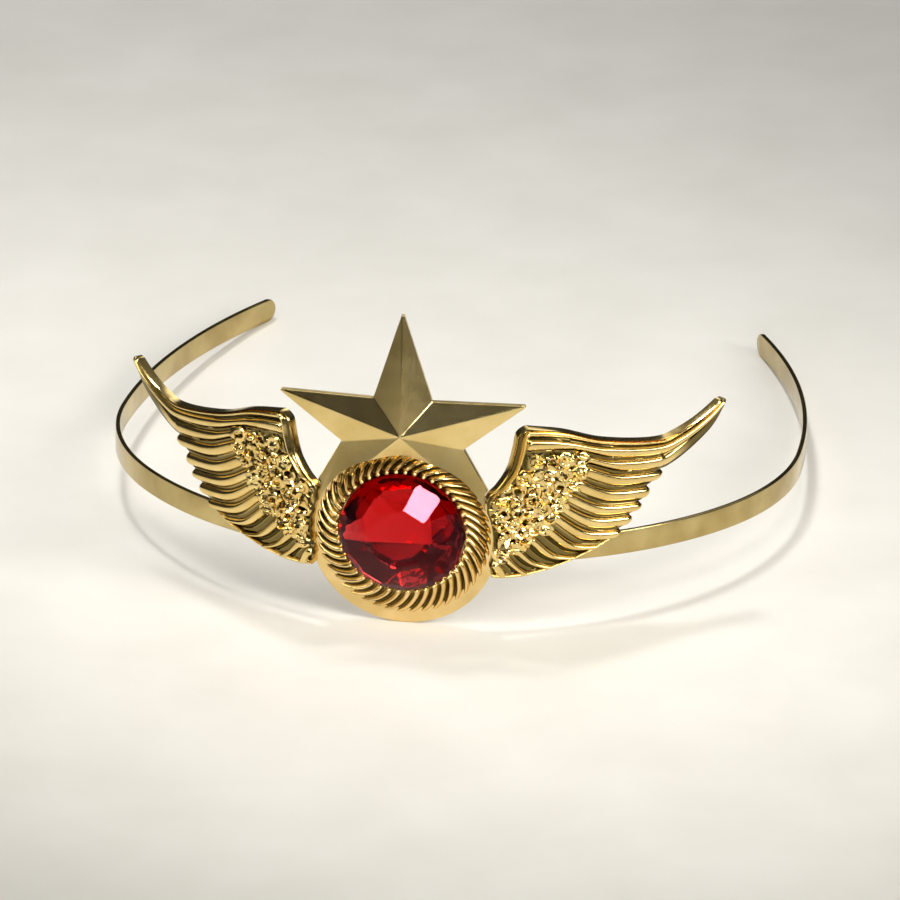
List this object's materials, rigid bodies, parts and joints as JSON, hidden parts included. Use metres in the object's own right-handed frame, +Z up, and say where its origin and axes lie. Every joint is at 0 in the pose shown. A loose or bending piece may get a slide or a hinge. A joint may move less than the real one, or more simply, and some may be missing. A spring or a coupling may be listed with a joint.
{
  "type": "diadem",
  "caption": "Forehead diadem: an open springy hoop that carries a star, spread wings and a round red faceted stone in a rope-edged setting.",
  "frame": {"origin": "bottom centre of the diadem's box, on the surface that it stands on", "axes": "+Z up, the star and the stone face -Y, +X to the right of someone who looks at them"},
  "size_m": [0.1424, 0.1478, 0.0678],
  "materials": {
    "gilt_band": "polished gold-coloured plating on spring steel",
    "gilt_star": "polished gold-coloured plating on stamped sheet",
    "gilt_wing": "polished gold-coloured plating on a casting",
    "gilt_setting": "polished gold-coloured plating on a casting",
    "red_stone": "clear red acrylic with polished facets"
  },
  "bodies": {
    "root": {"band": "gilt_band", "star": "gilt_star", "wing_left": "gilt_wing", "wing_right": "gilt_wing", "setting": "gilt_setting", "stone": "red_stone"}
  },
  "joints": []
}
